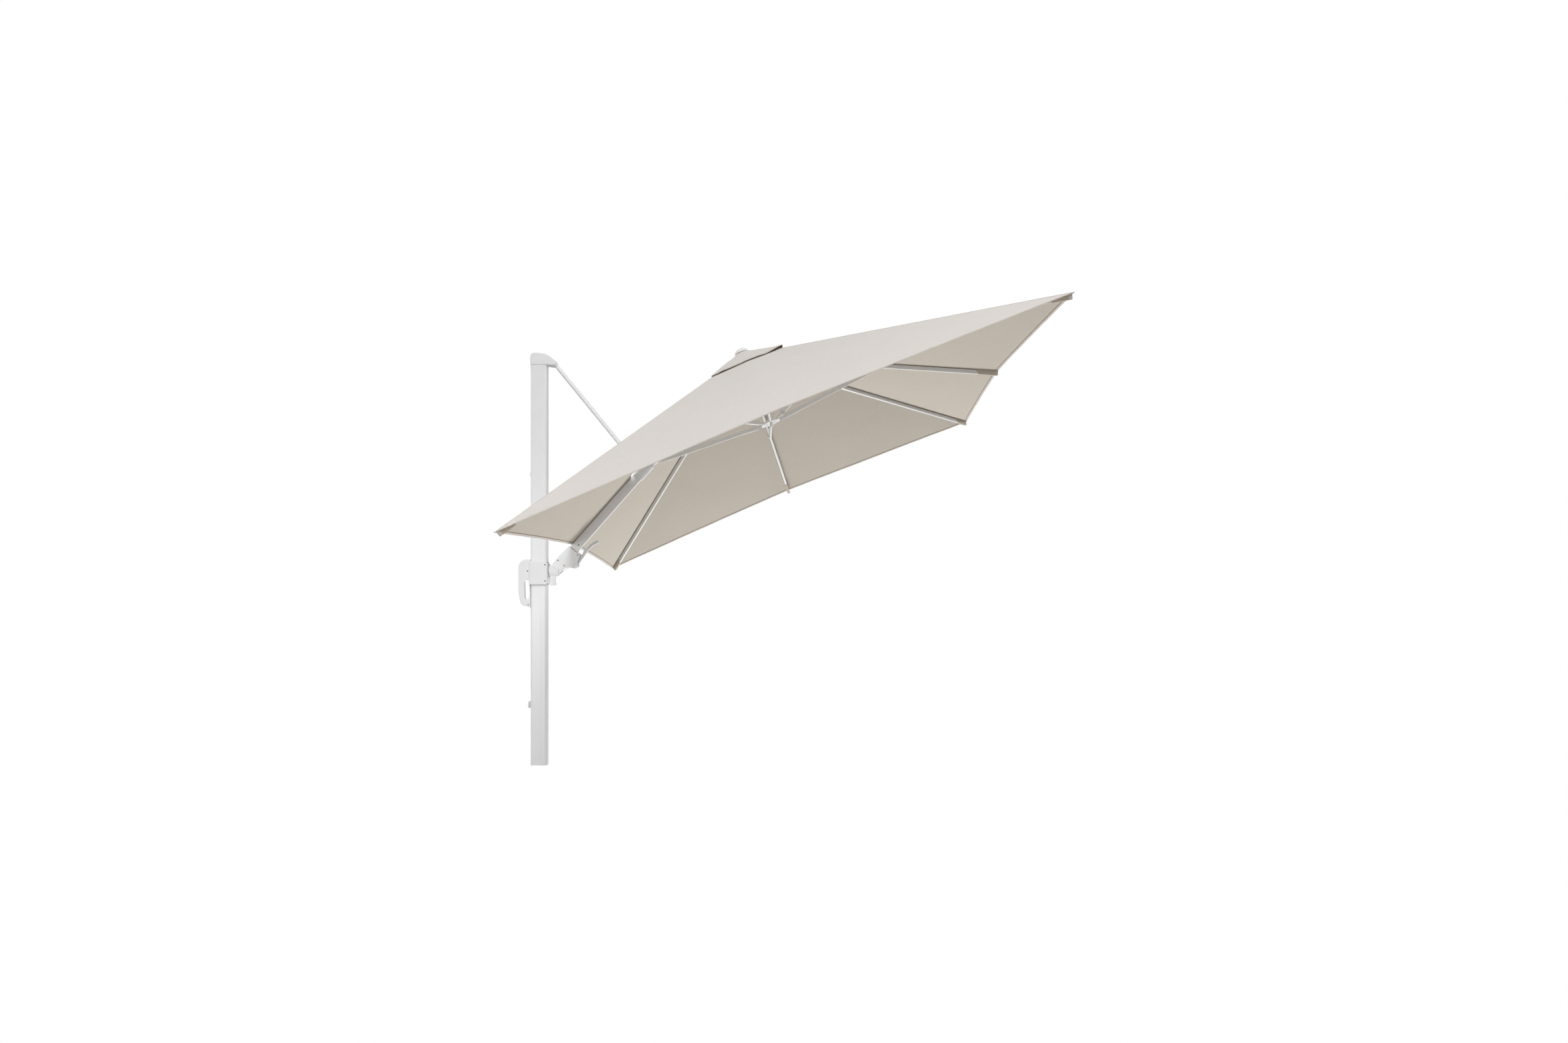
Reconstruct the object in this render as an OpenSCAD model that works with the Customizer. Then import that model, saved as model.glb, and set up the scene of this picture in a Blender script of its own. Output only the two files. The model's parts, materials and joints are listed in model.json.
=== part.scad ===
// Cantilever parasol with a square canopy, a square-section side mast and a folding top linkage.
// Millimetres. The origin is the centre of the mast's lower end face, +Z is up,
// +X points from the mast towards the canopy and -Y is the near side.

/* [Mast] */
// Length of the mast tube
mast_h = 2530; // [2400:10:2600]
// Width of the mast along X
mast_w = 102; // [96:1:106]
// Depth of the mast along Y
mast_d = 62; // [56:1:64]
// Wall of the mast tube
mast_wall = 2.5; // [2:0.5:4]

/* [Linkage] */
// Distance of both linkage pins from the mast's centre line
pin_x = 97; // [95:1:100]
// Height of the fixed top pin in the mast cap
top_pin_z = 2524.5; // [2515:0.5:2530]
// Height of the slider's pin with the arm as it stands
slider_z = 1222; // [1100:1:1300]
// Distance of the strut's lower pin from the mast's centre line
joint_x = 628; // [600:1:650]

/* [Beam] */
// Angle of the beam above the horizontal
beam_angle = 48.6; // [45:0.1:52]
// Width of the beam tube
beam_w = 30; // [28:1:32]
// Height of the beam tube
beam_h = 56; // [54:1:58]
// Distance from the slider's pin to the beam's pivot in the hub
beam_len = 1744.9; // [1740:0.1:1750]

/* [Canopy] */
// Side of the square canopy between its corners
canopy_side = 3000; // [2900:10:3020]
// Tilt of the canopy's axis from the vertical
canopy_tilt = 22.5; // [20:0.1:25]
// Radius of the circle of rib pivots in the hub
hub_r = 45; // [42:1:48]
// Droop of the four ribs that run to the middles of the sides
mid_droop = 26.1; // [25:0.1:28]
// Droop of the four ribs that run to the corners
corner_droop = 19.2; // [18:0.1:21]
// Width of a rib
rib_w = 16; // [14:1:18]
// Height of a rib
rib_h = 27; // [25:1:28]
// Thickness of the fabric solids
cloth_t = 1.2; // [1:0.1:3]
// Depth of the runner's pivot circle below the hub's pivots
runner_drop = 424; // [415:1:432]

/* [Hidden] */
$fn = 48;

metal = [0.88, 0.88, 0.87];
plastic = [0.93, 0.93, 0.92];
steel = [0.72, 0.73, 0.74];
cloth = [0.84, 0.81, 0.77];
cream = [0.87, 0.84, 0.74];

// Linkage points, seen from the near side: the strut and the arm are equally long.
joint_z = (top_pin_z + slider_z) / 2;
strut_len = norm([joint_x - pin_x, top_pin_z - joint_z]);
strut_angle = atan2(top_pin_z - joint_z, joint_x - pin_x);
joint_along = (joint_x - pin_x) * cos(beam_angle) + (joint_z - slider_z) * sin(beam_angle);
joint_above = (joint_z - slider_z) * cos(beam_angle) - (joint_x - pin_x) * sin(beam_angle);

// Running clearance on the radius of a pin, and the gap between moving faces.
run = 0.05;
gap = 0.5;

pin_r = 8;
screw_r = 5;
mast_corner = 14;
cap_wall = 3;
nose_half = 15;

// Slider
slider_half = 44;
handle_half = 19;
liner_t = 2.4;
ear_half = 14;
ear_r = 30;
slider_top = 55;
slider_bottom = -88;
slider_front = 59;
// Screws of the slider's shells: place along X, height and the half depth of the face there.
SLIDER_SCREWS = [
    [-72, -2, handle_half], [-68, -214, handle_half],
    [44, 36, slider_half], [44, -66, slider_half]
];

// Neck and roll joint
neck_half = 32;
neck_r = 34;
beam_start = 180;
spigot_r = 13;
spigot_len = 150;
lever_x = 111;
lever_z = -65;
lever_pin_r = 5;
NECK_SCREWS = [[65, 23], [66, -28], [172, -47]];

// Collar: the beam rolls in it on a round bush
bush_r = 33;
collar_r = 37.5;
collar_start = 800;
collar_end = 901;
ear_in = 25;
ear_out = 31;
stub_r = 4;

// Strut fork and lug
tine_in = 32;
tine_out = 38;
lug_along = 958;
lug_below = 41;

// Umbrella
half_side = canopy_side / 2;
eye_r = 9;
hub_pin_r = 3;
tongue_w = 8;
rib_start = 32;
mid_rib_len = 1546;
corner_rib_len = 2165;
stay_along = 813;
corner_stay_along = 795;
stay_below = 5;
stay_w = 12;
stay_h = 24;
stay_pin_r = 3;
runner_r = 64;
runner_pivot_r = 58;
runner_tongue = 5;
runner_slot = 8;
rim_slot = 13.6;
mid_gap = 1.2;
corner_gap = 3.4;
beam_gap = 1.5;
side_inset = 52;
vent_half = 190;
flap_half = 234;
flap_rise = 18;

// ---------- shared shapes ----------

module round_rect(w, d, r) {
    square([w - 2 * r, d], center = true);
    square([w, d - 2 * r], center = true);
    for (x = [-1, 1], y = [-1, 1])
        translate([x * (w / 2 - r), y * (d / 2 - r)])
            circle(r);
}

// Extrudes a profile along +X from x0 to x1; the profile's X becomes Y and its Y becomes Z.
module along_x(x0, x1) {
    translate([x0, 0, 0])
        rotate([90, 0, 90])
            linear_extrude(x1 - x0)
                children();
}

// Extrudes an outline drawn in X and Z between two places along Y.
module side_plate(y0, y1) {
    translate([0, y1, 0])
        rotate([90, 0, 0])
            linear_extrude(y1 - y0)
                children();
}

module y_rod(r, y0, y1) {
    translate([0, y0, 0])
        rotate([-90, 0, 0])
            cylinder(h = y1 - y0, r = r);
}

module box_tube(w, h, wall, r, x0, x1) {
    difference() {
        along_x(x0, x1)
            round_rect(w, h, r);
        along_x(x0 - 1, x1 + 1)
            round_rect(w - 2 * wall, h - 2 * wall, max(r - wall, 0.5));
    }
}

// The head of a screw with a hex socket, seated at z = 0 and pointing to +Z.
module screw_head(height) {
    difference() {
        cylinder(h = height, r = screw_r, $fn = 24);
        translate([0, 0, height * 0.45])
            cylinder(h = height, r = screw_r * 0.5, $fn = 6);
    }
}

// ---------- frames ----------

module at_top_pin() {
    translate([pin_x, 0, top_pin_z])
        children();
}

module at_slider() {
    translate([pin_x, 0, slider_z])
        children();
}

// Slider frame with X measured from the mast's centre.
module on_mast() {
    translate([0, 0, slider_z])
        children();
}

// X runs up the beam, Z points away from its upper face.
module in_arm() {
    at_slider()
        rotate([0, -beam_angle, 0])
            children();
}

// X runs down the strut from the top pin.
module in_strut() {
    at_top_pin()
        rotate([0, strut_angle, 0])
            children();
}

// Z is the canopy's axis and z = 0 the plane of the rib pivots.
module in_canopy() {
    in_arm()
        translate([beam_len, 0, 0])
            rotate([0, beam_angle - canopy_tilt, 0])
                translate([hub_r, 0, 0])
                    children();
}

module at_rib(azimuth, droop) {
    rotate([0, 0, azimuth])
        translate([hub_r, 0, 0])
            rotate([0, droop, 0])
                children();
}

// ---------- mast ----------

module mast_profile(w, d, r) {
    difference() {
        round_rect(w, d, r);
        for (side = [-1, 1])
            translate([w * 0.14, side * (d / 2 + 0.6)])
                circle(1.4, $fn = 16);
    }
}

module mast_tube() {
    color(metal)
        difference() {
            linear_extrude(mast_h)
                mast_profile(mast_w, mast_d, mast_corner);
            translate([0, 0, -1])
                linear_extrude(mast_h + 2)
                    round_rect(mast_w - 2 * mast_wall, mast_d - 2 * mast_wall, mast_corner - mast_wall);
        }
}

module mast_foot_plug() {
    plug_h = 80;
    color(steel)
        difference() {
            linear_extrude(plug_h)
                round_rect(mast_w - 2 * mast_wall - 0.4, mast_d - 2 * mast_wall - 0.4,
                           mast_corner - mast_wall - 0.2);
            for (a = [45:90:315])
                rotate([0, 0, a])
                    translate([20, 0, -1])
                        cylinder(h = plug_h + 2, r = 4.25);
            for (x = [-1, 1])
                translate([x * 35, 0, 10])
                    linear_extrude(plug_h)
                        round_rect(16, 40, 4);
        }
}

// Side outline of the mast cap, from its lower edge at the mast to the crown and the nose.
module cap_outline() {
    back = -mast_w / 2 - cap_wall;
    low = mast_h - 16;
    polygon([
        [back, low],
        [mast_w / 2 + cap_wall, low],
        [pin_x - 8, top_pin_z - 15.5],
        for (a = [-60:20:60]) [pin_x + 17 * cos(a), top_pin_z + 17 * sin(a)],
        [pin_x + 2, top_pin_z + 22],
        [pin_x - 24, top_pin_z + 42],
        [pin_x - 52, top_pin_z + 57],
        [pin_x - 84, top_pin_z + 63],
        for (a = [90:15:180]) [back + 30 + 30 * cos(a), top_pin_z + 36 + 29 * sin(a)]
    ]);
}

module mast_cap() {
    hood_half = mast_d / 2 + cap_wall;
    color(plastic)
        difference() {
            union() {
                intersection() {
                    side_plate(-hood_half, hood_half)
                        cap_outline();
                    linear_extrude(3 * mast_h)
                        translate([20, 0])
                            round_rect(mast_w + 2 * cap_wall + 40, 2 * hood_half, mast_corner + cap_wall);
                }
                side_plate(-hood_half, hood_half)
                    intersection() {
                        cap_outline();
                        translate([mast_w / 2, top_pin_z - 20])
                            square([60, 60]);
                    }
            }
            // Hollow over the tube, and the slot between the cheeks of the nose.
            translate([0, 0, mast_h - 40])
                linear_extrude(40)
                    round_rect(mast_w + 0.4, mast_d + 0.4, mast_corner);
            translate([0, 0, mast_h - 1])
                linear_extrude(40)
                    round_rect(mast_w - 12, mast_d - 8, 8);
            translate([pin_x - 36, -nose_half, top_pin_z - 60])
                cube([90, 2 * nose_half, 88]);
            at_top_pin()
                y_rod(pin_r, -60, 60);
            for (side = [-1, 1])
                translate([20, side * (hood_half - 1.4), mast_h - 5])
                    rotate([-90 * side, 0, 0])
                        cylinder(h = 8, r = screw_r + 0.2);
        }
}

module cap_screws() {
    color(steel)
        for (side = [-1, 1])
            translate([20, side * (mast_d / 2 + cap_wall - 1.4), mast_h - 5])
                rotate([-90 * side, 0, 0])
                    screw_head(2.2);
}

module cap_pin() {
    color(steel)
        at_top_pin()
            union() {
                y_rod(pin_r, -mast_d / 2 - cap_wall, mast_d / 2 + cap_wall);
                for (side = [-1, 1])
                    y_rod(11, min(side * 34, side * 37), max(side * 34, side * 37));
            }
}

module upper_stop() {
    color(plastic)
        translate([-mast_w / 2 - 7, -9, 1819])
            difference() {
                cube([7, 18, 22]);
                translate([-1, 9, 11])
                    rotate([0, 90, 0])
                        cylinder(h = 5, r = 3.5);
            }
}

module strap_knob() {
    color(plastic)
        translate([-mast_w / 2, 0, 380])
            rotate([0, -90, 0])
                union() {
                    cylinder(h = 8, r = 12);
                    translate([0, 0, 7.9])
                        cylinder(h = 10, r = 23, $fn = 6);
                }
}

// ---------- top strut ----------

module strut_tube() {
    color(metal)
        in_strut()
            difference() {
                along_x(30, strut_len - 96)
                    circle(12.5);
                along_x(29, strut_len - 95)
                    circle(10.5);
            }
}

module strut_eye() {
    color(plastic)
        in_strut()
            difference() {
                union() {
                    y_rod(14, -nose_half + gap, nose_half - gap);
                    along_x(0, 30)
                        round_rect(22, 24, 4);
                    along_x(29.5, 60)
                        circle(10.3);
                }
                y_rod(pin_r + run, -20, 20);
            }
}

// The fork straddles the collar, so its tines stay outside the collar's ears.
module strut_fork() {
    cross = strut_len - 96;
    color(plastic)
        in_strut()
            difference() {
                union() {
                    along_x(cross - 30, cross + 0.5)
                        circle(10.3);
                    along_x(cross, cross + 14)
                        round_rect(2 * tine_out, 25, 5);
                    for (side = [-1, 1])
                        side_plate(min(side * tine_in, side * tine_out),
                                   max(side * tine_in, side * tine_out))
                            union() {
                                translate([cross + 6, -10])
                                    square([strut_len - cross - 6, 20]);
                                translate([strut_len, 0])
                                    circle(11);
                            }
                }
                translate([strut_len, 0, 0])
                    y_rod(stub_r + run, -60, 60);
            }
}

// ---------- slider ----------

// Sleeve around the mast, seen from the side.
module sleeve_outline() {
    polygon([
        [-mast_w / 2 - 8, slider_bottom],
        [slider_front - 10, slider_bottom],
        [slider_front, slider_bottom + 12],
        [slider_front, slider_top - 10],
        [slider_front - 12, slider_top],
        [-mast_w / 2 - 8, slider_top + 2]
    ]);
}

// D-handle behind the mast.
module handle_outline() {
    back = -130;
    difference() {
        polygon([
            [-mast_w / 2 + 4, 72],
            for (a = [90:15:180]) [back + 52 + 52 * cos(a), 20 + 52 * sin(a)],
            [back, -128],
            [back + 6, -170],
            [back + 14, -204],
            [back + 26, -216],
            [-70, -226],
            [-mast_w / 2 + 4, -234]
        ]);
        hull() {
            translate([-77, -74])
                circle(16, $fn = 32);
            translate([-76, -166])
                circle(14, $fn = 32);
        }
    }
}

module slider_shell(side) {
    passage = liner_t + 0.4;
    difference() {
        union() {
            intersection() {
                side_plate(min(0, side * slider_half), max(0, side * slider_half))
                    sleeve_outline();
                translate([0, 0, -300])
                    linear_extrude(600)
                        round_rect(2 * 66, 2 * slider_half, 20);
            }
            side_plate(min(0, side * handle_half), max(0, side * handle_half))
                handle_outline();
        }
        translate([0, 0, -300])
            linear_extrude(600)
                square([mast_w + 2 * passage, mast_d + 2 * passage], center = true);
        translate([53, -ear_half - 0.2, -36])
            cube([40, 2 * ear_half + 0.4, 72]);
        for (p = SLIDER_SCREWS)
            translate([p[0], side * (p[2] - 3), p[1]])
                rotate([-90 * side, 0, 0])
                    cylinder(h = 8, r = screw_r + 0.2);
    }
}

module slider_shell_near() {
    color(plastic)
        on_mast()
            slider_shell(-1);
}

module slider_shell_far() {
    color(plastic)
        on_mast()
            slider_shell(1);
}

module slider_bracket() {
    color(metal)
        on_mast()
            difference() {
                union() {
                    translate([54.5, -ear_half, -32])
                        cube([pin_x - 54.5 - 12, 2 * ear_half, 64]);
                    translate([pin_x, 0, 0])
                        y_rod(ear_r, -ear_half, ear_half);
                }
                translate([pin_x, 0, 0])
                    y_rod(pin_r, -60, 60);
            }
}

module glide_liner() {
    color(steel)
        on_mast()
            difference() {
                translate([0, 0, slider_bottom + 2])
                    linear_extrude(slider_top - slider_bottom - 4)
                        round_rect(mast_w + 0.8 + 2 * (liner_t - 0.2), mast_d + 0.8 + 2 * (liner_t - 0.2),
                                   mast_corner + 2.4);
                translate([0, 0, slider_bottom])
                    linear_extrude(slider_top - slider_bottom)
                        round_rect(mast_w + 0.8, mast_d + 0.8, mast_corner + 0.4);
            }
}

module slider_screws() {
    color(steel)
        on_mast()
            for (side = [-1, 1], p = SLIDER_SCREWS)
                translate([p[0], side * (p[2] - 3), p[1]])
                    rotate([-90 * side, 0, 0])
                        screw_head(2.6);
}

module pivot_pin() {
    color(steel)
        at_slider()
            union() {
                y_rod(pin_r, -45, neck_half + 1);
                y_rod(19, neck_half + 1, neck_half + 6);
                y_rod(20, -47, -43.4);
            }
}

// Two-lobed lever on the near side of the pivot.
module lock_lever() {
    color(plastic)
        at_slider()
            difference() {
                union() {
                    side_plate(-45, -neck_half - 1)
                        circle(31);
                    side_plate(-43, -35)
                        union() {
                            polygon([[-17, 0], [17, 0], [13, -84], [-15, -84]]);
                            translate([-10, -86])
                                circle(9);
                            translate([9, -84])
                                circle(10);
                        }
                }
                y_rod(pin_r + run, -60, 0);
                y_rod(21, -46, -43);
            }
}

// ---------- arm ----------

module neck_outline() {
    union() {
        circle(neck_r);
        polygon([
            [0, neck_r - 1],
            [70, 37],
            [140, 33],
            [beam_start - 1, 30],
            [beam_start - 1, -30],
            [beam_start + 6, -38],
            [beam_start + 2, -58],
            [lever_x + 24, -72],
            [lever_x - 25, -63],
            [58, -44],
            [0, 1 - neck_r]
        ]);
        translate([lever_x, lever_z])
            circle(26);
    }
}

module neck_shell(side) {
    difference() {
        side_plate(min(0, side * neck_half), max(0, side * neck_half))
            neck_outline();
        // Room for the slider's ear and shells as the arm swings.
        y_rod(50, -ear_half - gap, ear_half + gap);
        y_rod(pin_r + run, -60, 60);
        along_x(58, beam_start + 20)
            circle(spigot_r + 3);
        // Pocket for the lever's root.
        translate([lever_x, 0, lever_z])
            y_rod(32, -9, 9);
        translate([lever_x, -9, -110])
            cube([90, 18, 62]);
        translate([lever_x, 0, lever_z])
            y_rod(lever_pin_r, -60, 60);
        for (p = NECK_SCREWS)
            translate([p[0], side * (neck_half - 3), p[1]])
                rotate([-90 * side, 0, 0])
                    cylinder(h = 8, r = screw_r + 0.2);
    }
}

module neck_shell_near() {
    color(plastic)
        in_arm()
            neck_shell(-1);
}

module neck_shell_far() {
    color(plastic)
        in_arm()
            neck_shell(1);
}

module neck_spigot() {
    color(steel)
        in_arm()
            union() {
                along_x(beam_start - 1, beam_start + spigot_len)
                    circle(spigot_r);
                along_x(58, beam_start - 0.5)
                    circle(spigot_r + 3);
            }
}

module neck_screws() {
    color(steel)
        in_arm()
            for (side = [-1, 1], p = NECK_SCREWS)
                translate([p[0], side * (neck_half - 3), p[1]])
                    rotate([-90 * side, 0, 0])
                        screw_head(2.6);
}

module tilt_lever() {
    color(plastic)
        in_arm()
            difference() {
                union() {
                    translate([lever_x, 0, lever_z])
                        y_rod(22, -8, 8);
                    side_plate(-8, 8)
                        polygon([
                            [lever_x, lever_z - 20],
                            [lever_x + 84, lever_z - 11],
                            [lever_x + 84, lever_z + 4],
                            [lever_x, lever_z + 10]
                        ]);
                    side_plate(-12, 12)
                        polygon([
                            [lever_x + 82, lever_z - 11],
                            [lever_x + 116, lever_z - 7],
                            [lever_x + 160, lever_z - 10],
                            [lever_x + 202, lever_z - 22],
                            [lever_x + 211, lever_z - 17],
                            [lever_x + 206, lever_z - 6],
                            [lever_x + 160, lever_z + 8],
                            [lever_x + 108, lever_z + 11],
                            [lever_x + 82, lever_z + 4]
                        ]);
                }
                translate([lever_x, 0, lever_z])
                    y_rod(lever_pin_r + run, -60, 60);
            }
}

module tilt_lever_pin() {
    color(steel)
        in_arm()
            translate([lever_x, 0, lever_z])
                y_rod(lever_pin_r, -neck_half - 1.5, neck_half + 1.5);
}

module collar() {
    color(plastic)
        in_arm()
            difference() {
                union() {
                    along_x(collar_start, collar_end)
                        circle(collar_r, $fn = 64);
                    for (side = [-1, 1])
                        side_plate(min(side * ear_in, side * ear_out), max(side * ear_in, side * ear_out))
                            union() {
                                translate([joint_along, joint_above])
                                    circle(12);
                                translate([joint_along - 20, 0])
                                    square([40, joint_above]);
                            }
                }
                along_x(collar_start - 1, collar_end + 1)
                    circle(bush_r + run, $fn = 64);
                translate([joint_along, 0, joint_above])
                    y_rod(stub_r, -60, 60);
            }
}

module collar_pins() {
    color(steel)
        in_arm()
            translate([joint_along, 0, joint_above])
                for (side = [-1, 1]) {
                    y_rod(stub_r, min(side * (ear_in - 1), side * (tine_out + 1)),
                          max(side * (ear_in - 1), side * (tine_out + 1)));
                    y_rod(7, min(side * (tine_out + 0.5), side * (tine_out + 3)),
                          max(side * (tine_out + 0.5), side * (tine_out + 3)));
                }
}

module collar_screw() {
    color(steel)
        in_arm()
            translate([collar_end - 22, -collar_r - 1.4, -8])
                rotate([90, 0, 0])
                    screw_head(2.6);
}

// ---------- beam ----------

module beam_tube() {
    color(metal)
        in_arm()
            box_tube(beam_w, beam_h, 2, 3, beam_start, beam_len - 60);
}

module beam_socket() {
    color(plastic)
        in_arm()
            difference() {
                along_x(beam_start + 2, beam_start + spigot_len + 20)
                    round_rect(beam_w - 4, beam_h - 4, 1);
                along_x(beam_start, beam_start + spigot_len + 0.5)
                    circle(spigot_r + run);
            }
}

module beam_bush() {
    color(plastic)
        in_arm()
            difference() {
                union() {
                    along_x(collar_start - 13, collar_end + 4)
                        circle(bush_r, $fn = 64);
                    along_x(collar_start - 13, collar_start - 0.6)
                        circle(collar_r, $fn = 64);
                }
                along_x(collar_start - 20, collar_end + 20)
                    round_rect(beam_w, beam_h, 3);
            }
}

module beam_screws() {
    color(steel)
        in_arm()
            for (side = [-1, 1], x = [beam_start + 41])
                translate([x, side * beam_w / 2, -6.5])
                    rotate([-90 * side, 0, 0])
                        screw_head(2.4);
}

// Bracket under the beam that carries its own stay.
module strut_lug() {
    color(plastic)
        in_arm()
            difference() {
                union() {
                    translate([lug_along - 34, -beam_w / 2 - 2, -beam_h / 2 - 4])
                        cube([68, beam_w + 4, 14]);
                    for (side = [-1, 1])
                        side_plate(min(side * 3.2, side * 9), max(side * 3.2, side * 9))
                            union() {
                                translate([lug_along, -lug_below])
                                    circle(9);
                                translate([lug_along - 9, -lug_below])
                                    square([18, lug_below - beam_h / 2]);
                            }
                }
                along_x(lug_along - 60, lug_along + 60)
                    round_rect(beam_w, beam_h, 3);
                translate([lug_along, 0, -lug_below])
                    y_rod(stay_pin_r, -60, 60);
            }
    color(steel)
        in_arm()
            translate([lug_along, 0, -lug_below])
                y_rod(stay_pin_r, -11, 11);
}

module beam_head() {
    reach = 60;
    color(plastic)
        in_arm()
            translate([beam_len, 0, 0])
                difference() {
                    union() {
                        along_x(-reach - 50, -reach)
                            round_rect(beam_w - 4, beam_h - 4, 1);
                        along_x(-reach, -reach + 6)
                            round_rect(beam_w, beam_h, 3);
                        side_plate(-tongue_w / 2, tongue_w / 2)
                            polygon([[-reach, -22], [-reach, 22], [-3, eye_r - 0.5], [-3, -eye_r + 0.5]]);
                        y_rod(eye_r, -tongue_w / 2, tongue_w / 2);
                    }
                    y_rod(hub_pin_r + run, -10, 10);
                }
}

// ---------- hub, runner and finial ----------

module top_hub() {
    low = -13;
    high = 15;
    color(plastic)
        in_canopy()
            difference() {
                union() {
                    translate([0, 0, low])
                        cylinder(h = high - low, r = 66, $fn = 72);
                    translate([0, 0, high - 0.1])
                        cylinder(h = 12, r = 30);
                }
                for (a = [0:45:315])
                    rotate([0, 0, a]) {
                        translate([hub_r - eye_r - 2.5, -tongue_w / 2 - gap, low - 1])
                            cube([60, tongue_w + 2 * gap, high - low - 3]);
                        translate([hub_r, 0, 0])
                            y_rod(hub_pin_r, -11, 11);
                    }
                translate([0, 0, low - 1])
                    cylinder(h = 60, r = 6);
            }
}

module hub_pins() {
    color(steel)
        in_canopy()
            for (a = [0:45:315])
                rotate([0, 0, a])
                    translate([hub_r, 0, 0])
                        y_rod(hub_pin_r, -11, 11);
}

module finial_cap() {
    base = 50;
    color(plastic)
        in_canopy()
            translate([0, 0, base])
                difference() {
                    union() {
                        rotate_extrude($fn = 64)
                            polygon([
                                [0, 0],
                                [42, 0],
                                [43, 4],
                                for (a = [10:10:90]) [42 * cos(a), 5 + 24 * sin(a)]
                            ]);
                        translate([0, 0, -23])
                            cylinder(h = 24, r = 16);
                    }
                    translate([0, 0, -30])
                        cylinder(h = 40, r = 6);
                }
}

module lower_hub() {
    thick = 12;
    color(plastic)
        in_canopy()
            translate([0, 0, -runner_drop])
                difference() {
                    union() {
                        translate([0, 0, -thick / 2])
                            cylinder(h = thick, r = runner_r, $fn = 72);
                        translate([0, 0, -thick / 2 - 22])
                            cylinder(h = 30, r = 12);
                        translate([0, 0, thick / 2 - 0.1])
                            cylinder(h = 16, r = 16);
                    }
                    for (a = [0:45:315])
                        rotate([0, 0, a])
                            translate([20, -runner_slot / 2, -thick])
                                cube([60, runner_slot, 3 * thick]);
                    // The corner stays' shoulders dip through the rim as the canopy closes.
                    for (a = [45:90:315])
                        rotate([0, 0, a])
                            translate([runner_pivot_r - 9, -rim_slot / 2, -thick])
                                cube([40, rim_slot, 3 * thick]);
                    translate([0, 0, -60])
                        cylinder(h = 120, r = 5);
                }
}

// ---------- ribs ----------

module rib(azimuth, droop, len, joint) {
    color(metal)
        in_canopy()
            at_rib(azimuth, droop)
                difference() {
                    box_tube(rib_w, rib_h, 1.4, 2, rib_start + 4, len);
                    translate([joint, 0, -stay_below])
                        y_rod(stay_pin_r, -20, 20);
                }
}

// Hinge tongue at the hub end, rivet for the stay and plug at the outer end of one rib.
module rib_ends(azimuth, droop, len, joint) {
    inner_w = rib_w - 2.8;
    inner_h = rib_h - 2.8;
    color(plastic)
        in_canopy()
            at_rib(azimuth, droop) {
                difference() {
                    union() {
                        y_rod(eye_r, -tongue_w / 2, tongue_w / 2);
                        side_plate(-tongue_w / 2, tongue_w / 2)
                            polygon([[2, eye_r - 0.3], [2, -eye_r + 0.3], [rib_start, -11], [rib_start, 11]]);
                        along_x(rib_start, rib_start + 4)
                            round_rect(rib_w, rib_h, 2);
                        along_x(rib_start + 4, rib_start + 44)
                            round_rect(inner_w, inner_h, 0.6);
                    }
                    y_rod(hub_pin_r + run, -10, 10);
                }
                translate([joint, 0, -stay_below])
                    y_rod(stay_pin_r, -rib_w / 2 - 4, rib_w / 2 + 4);
                along_x(len - 30, len)
                    round_rect(inner_w, inner_h, 0.6);
                along_x(len, len + 7)
                    round_rect(rib_w, rib_h, 4);
            }
}

module rib_front() { rib(0, mid_droop, mid_rib_len, stay_along); }
module rib_near() { rib(-90, mid_droop, mid_rib_len, stay_along); }
module rib_far() { rib(90, mid_droop, mid_rib_len, stay_along); }
module rib_front_near() { rib(-45, corner_droop, corner_rib_len, corner_stay_along); }
module rib_front_far() { rib(45, corner_droop, corner_rib_len, corner_stay_along); }
module rib_back_near() { rib(-135, corner_droop, corner_rib_len, corner_stay_along); }
module rib_back_far() { rib(135, corner_droop, corner_rib_len, corner_stay_along); }
module ends_front() { rib_ends(0, mid_droop, mid_rib_len, stay_along); }
module ends_near() { rib_ends(-90, mid_droop, mid_rib_len, stay_along); }
module ends_far() { rib_ends(90, mid_droop, mid_rib_len, stay_along); }
module ends_front_near() { rib_ends(-45, corner_droop, corner_rib_len, corner_stay_along); }
module ends_front_far() { rib_ends(45, corner_droop, corner_rib_len, corner_stay_along); }
module ends_back_near() { rib_ends(-135, corner_droop, corner_rib_len, corner_stay_along); }
module ends_back_far() { rib_ends(135, corner_droop, corner_rib_len, corner_stay_along); }

// ---------- stays between the ribs and the runner ----------

// A stay in the radial plane, from its pin on the rib to its place in the runner.
// along and below give the pin in the rib's own frame, hold is half the gap between its tines.
module stay(azimuth, droop, along, below, hold) {
    px = hub_r + along * cos(droop) - below * sin(droop);
    pz = -along * sin(droop) - below * cos(droop);
    len = norm([px - runner_pivot_r, pz + runner_drop]);
    slope = atan2(pz + runner_drop, px - runner_pivot_r);
    reach = hold > 0 ? 84 : 46;
    color(metal)
        in_canopy()
            rotate([0, 0, azimuth])
                translate([px, 0, pz])
                    rotate([0, 180 - slope, 0])
                        difference() {
                            union() {
                                box_tube(stay_w, stay_h, 1.3, 1.5, reach + 6, len - 52);
                                along_x(reach, reach + 7)
                                    round_rect(max(2 * hold + 6, stay_w), stay_h, 2);
                                along_x(len - 53, len - 44)
                                    round_rect(stay_w, stay_h, 2);
                                side_plate(-runner_tongue / 2, runner_tongue / 2)
                                    polygon([[len - 45, -9], [len - 45, 9], [len - 1, 5], [len - 1, -5]]);
                                translate([len, 0, 0])
                                    y_rod(5.5, -runner_tongue / 2, runner_tongue / 2);
                                if (hold > 0)
                                    stay_tines(hold, reach + 1);
                                else
                                    stay_blade(reach + 1);
                            }
                            y_rod(stay_pin_r + run, -60, 60);
                            translate([len / 2, 0, 0])
                                cylinder(h = 60, r = 2, $fn = 16);
                        }
}

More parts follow.
